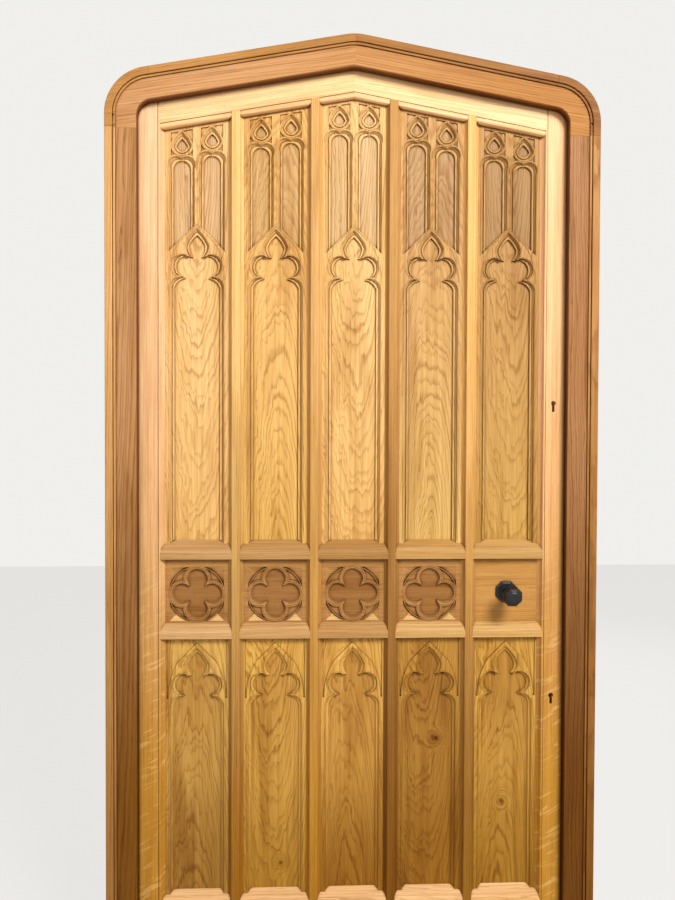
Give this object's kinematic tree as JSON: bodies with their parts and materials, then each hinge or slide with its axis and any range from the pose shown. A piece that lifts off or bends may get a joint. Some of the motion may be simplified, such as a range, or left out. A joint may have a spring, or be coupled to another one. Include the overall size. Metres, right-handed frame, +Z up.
{
  "type": "arched wooden door",
  "caption": "Arched oak entrance door in its rebated frame, with carved Gothic tracery panels between moulded muntins, a faceted knob, a latch and deadlocks.",
  "frame": {"origin": "middle of the underside of the sill, on the plane of the frame's outside face", "axes": "+X to the right seen from outside, +Y through the door towards the inside of the house, +Z up"},
  "size_m": [1.14, 0.1795, 2.263],
  "materials": {
    "frame_oak": "oiled oak, peach-tan head and darker jambs",
    "strip_oak": "oiled oak cover strip",
    "sill_oak": "oiled oak, a little weathered",
    "stile_oak": "pale honey oak, oiled",
    "muntin_oak": "honey oak, oiled",
    "rail_oak": "pinkish pale oak, oiled",
    "panel_oak": "honey oak with cathedral grain, oiled",
    "dark_panel_oak": "darker oak, grain lying across",
    "black_iron": "black, satin, lightly hammered",
    "hinge_steel": "brushed",
    "lock_steel": "brushed"
  },
  "bodies": {
    "frame": {"jamb_left": "frame_oak", "jamb_right": "frame_oak", "head": "frame_oak", "sill": "sill_oak", "keeps": "lock_steel", "hinge_frame_plates": "hinge_steel", "hinge_pins": "hinge_steel", "strip_corner_left": "strip_oak", "strip_corner_right": "strip_oak", "strip_head_left": "strip_oak", "strip_head_right": "strip_oak", "strip_jamb_left": "strip_oak", "strip_jamb_right": "strip_oak"},
    "leaf": {"bottom_rail": "rail_oak", "deadlock_case_lower": "lock_steel", "deadlock_case_upper": "lock_steel", "hinge_leaf_plates": "hinge_steel", "latch_case": "lock_steel", "lock_block": "dark_panel_oak", "lower_panel_1": "panel_oak", "lower_panel_2": "panel_oak", "lower_panel_3": "panel_oak", "lower_panel_4": "panel_oak", "lower_panel_5": "panel_oak", "lower_rail_1": "rail_oak", "lower_rail_2": "rail_oak", "lower_rail_3": "rail_oak", "lower_rail_4": "rail_oak", "lower_rail_5": "rail_oak", "middle_panel_1": "dark_panel_oak", "middle_panel_2": "dark_panel_oak", "middle_panel_3": "dark_panel_oak", "middle_panel_4": "dark_panel_oak", "muntin_1": "muntin_oak", "muntin_2": "muntin_oak", "muntin_3": "muntin_oak", "muntin_4": "muntin_oak", "rose_inside": "black_iron", "rose_outside": "black_iron", "stile_left": "stile_oak", "stile_right": "stile_oak", "top_rail": "stile_oak", "upper_panel_1": "panel_oak", "upper_panel_2": "panel_oak", "upper_panel_3": "panel_oak", "upper_panel_4": "panel_oak", "upper_panel_5": "panel_oak", "upper_rail_1": "rail_oak", "upper_rail_2": "rail_oak", "upper_rail_3": "rail_oak", "upper_rail_4": "rail_oak", "upper_rail_5": "rail_oak"},
    "knobs": {"knob_outside": "black_iron", "knob_inside": "black_iron", "knob_spindle": "lock_steel"},
    "latch": {"latch_bolt": "lock_steel"},
    "upper_deadbolt": {"deadbolt_upper": "lock_steel"},
    "lower_deadbolt": {"deadbolt_lower": "lock_steel"}
  },
  "joints": [
    {"name": "leaf_swing", "type": "hinge", "parent": "frame", "child": "leaf", "pos_m": [-0.5165, 0.091, 1.06], "axis": [0, 0, 1], "range_deg": [0, 110]},
    {"name": "knob_turn", "type": "hinge", "parent": "leaf", "child": "knobs", "pos_m": [0.368, 0.05475, 0.972], "axis": [0, 1, 0], "range_deg": [0, 45], "stiffness_Nm_per_rad": 0.4},
    {"name": "latch_draw", "type": "slide", "parent": "leaf", "child": "latch", "axis": [-1, 0, 0], "range_m": [0, 0.012]},
    {"name": "upper_deadbolt_throw", "type": "slide", "parent": "leaf", "child": "upper_deadbolt", "axis": [1, 0, 0], "range_m": [0, 0.02]},
    {"name": "lower_deadbolt_throw", "type": "slide", "parent": "leaf", "child": "lower_deadbolt", "axis": [1, 0, 0], "range_m": [0, 0.02]}
  ],
  "couplings": [
    {"joint": "latch_draw", "follows": "knob_turn", "m_per_rad": 0.01527}
  ]
}
